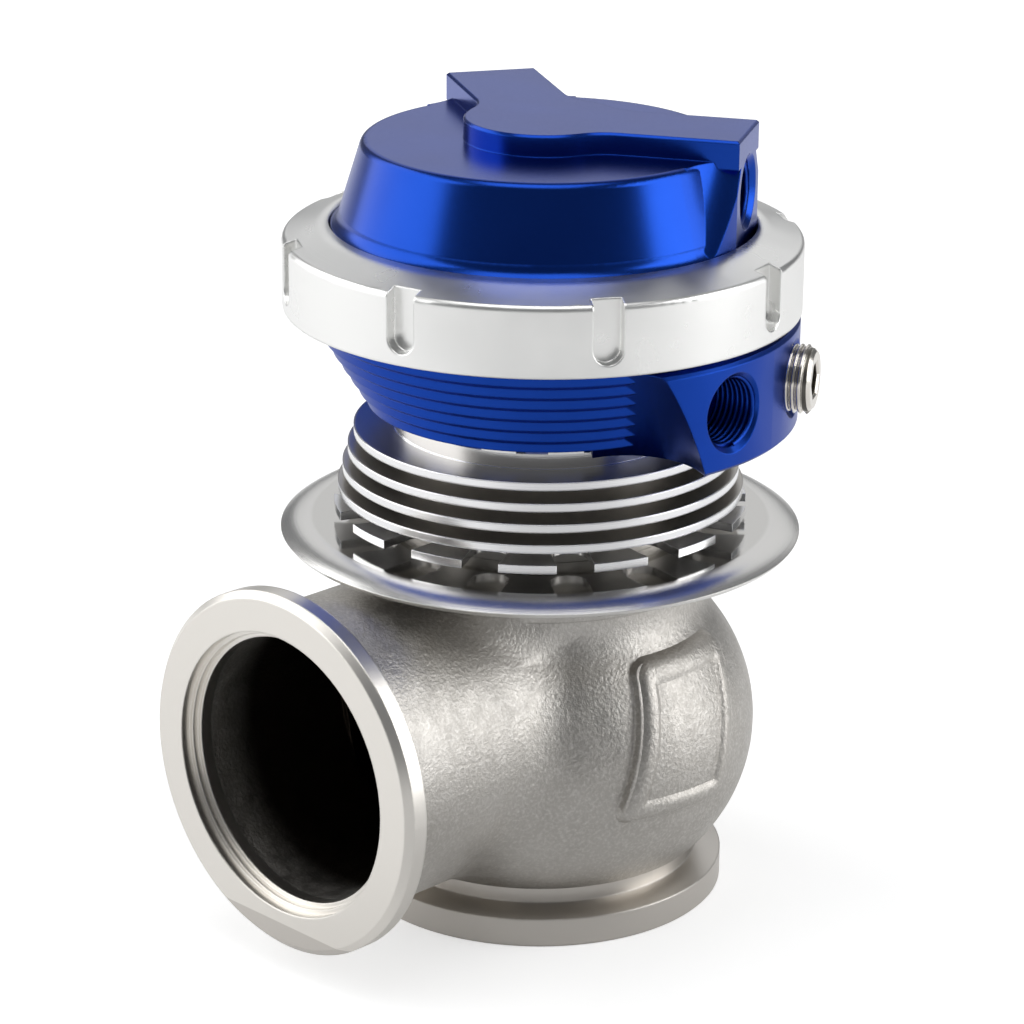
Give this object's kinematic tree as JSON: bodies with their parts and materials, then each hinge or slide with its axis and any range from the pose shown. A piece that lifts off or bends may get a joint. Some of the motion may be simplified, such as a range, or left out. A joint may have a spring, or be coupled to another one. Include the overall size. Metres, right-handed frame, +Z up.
{
  "type": "turbo wastegate",
  "caption": "External turbo wastegate: cast valve body with clamp-flanged inlet and outlet, finned heatsink, and a spring and diaphragm actuator that lifts a poppet valve.",
  "frame": {"origin": "centre of the inlet flange's face, where the inlet bore opens", "axes": "+Z up the valve stem's axis, away from the inlet; the outlet points along -Y; the open boost port points along +X"},
  "size_m": [0.0781, 0.0923, 0.1198],
  "materials": {
    "cast_stainless": "fine sand-cast grain, machined at the flanges",
    "seat_alloy": "ground",
    "valve_alloy": "ground stem, turned head",
    "bronze": "turned",
    "gasket_steel": "thin pressed sheet",
    "shield_stainless": "polished floor, satin lip",
    "polished_aluminium": "bright turned",
    "blue_anodised": "satin blue anodise",
    "clear_anodised": "satin clear anodise",
    "bare_aluminium": "machined",
    "nickel": "bright nickel plate",
    "fastener_steel": "plain",
    "spring_steel": "shot-peened",
    "black_rubber": "matte",
    "white_plastic": "low-friction plastic"
  },
  "bodies": {
    "wastegate": {"valve_body": "cast_stainless", "valve_seat": "seat_alloy", "valve_guide": "bronze", "stem_scraper": "fastener_steel", "shield_gasket": "gasket_steel", "heat_shield": "shield_stainless", "heatsink": "polished_aluminium", "heatsink_screws": "fastener_steel", "housing_o_ring": "black_rubber", "stem_bushing": "bronze", "stem_seal": "black_rubber", "seal_retainer": "fastener_steel", "lower_housing": "blue_anodised", "housing_screws": "fastener_steel", "boost_port_plug": "nickel", "rear_port_plugs": "nickel", "diaphragm": "black_rubber", "outer_spring": "spring_steel", "middle_spring": "spring_steel", "inner_spring": "spring_steel"},
    "valve_train": {"poppet_valve": "valve_alloy", "lower_plate": "bare_aluminium", "piston_cup": "bare_aluminium", "stem_washer": "fastener_steel", "stem_nut": "fastener_steel"},
    "cap_assembly": {"cap": "blue_anodised", "cap_port_plug": "nickel"},
    "collar_carrier": {"slip_ring": "white_plastic"},
    "collar": {"locking_collar": "clear_anodised"}
  },
  "joints": [
    {"name": "valve_lift", "type": "slide", "parent": "wastegate", "child": "valve_train", "axis": [0, 0, 1], "range_m": [0, 0.01], "stiffness_N_per_m": 8000, "springref_m": -0.017, "deforming": ["outer_spring", "middle_spring", "inner_spring", "diaphragm"]},
    {"name": "cap_clocking", "type": "hinge", "parent": "wastegate", "child": "cap_assembly", "pos_m": [0, 0, 0.0979], "axis": [0, 0, 1], "continuous": true},
    {"name": "collar_travel", "type": "slide", "parent": "wastegate", "child": "collar_carrier", "axis": [0, 0, 1], "range_m": [0, 0.0045]},
    {"name": "collar_turn", "type": "hinge", "parent": "collar_carrier", "child": "collar", "pos_m": [0, 0, 0.1009], "axis": [0, 0, 1], "range_deg": [0, 1080]}
  ],
  "couplings": [
    {"joint": "collar_travel", "follows": "collar_turn", "m_per_rad": 0.00023873}
  ]
}
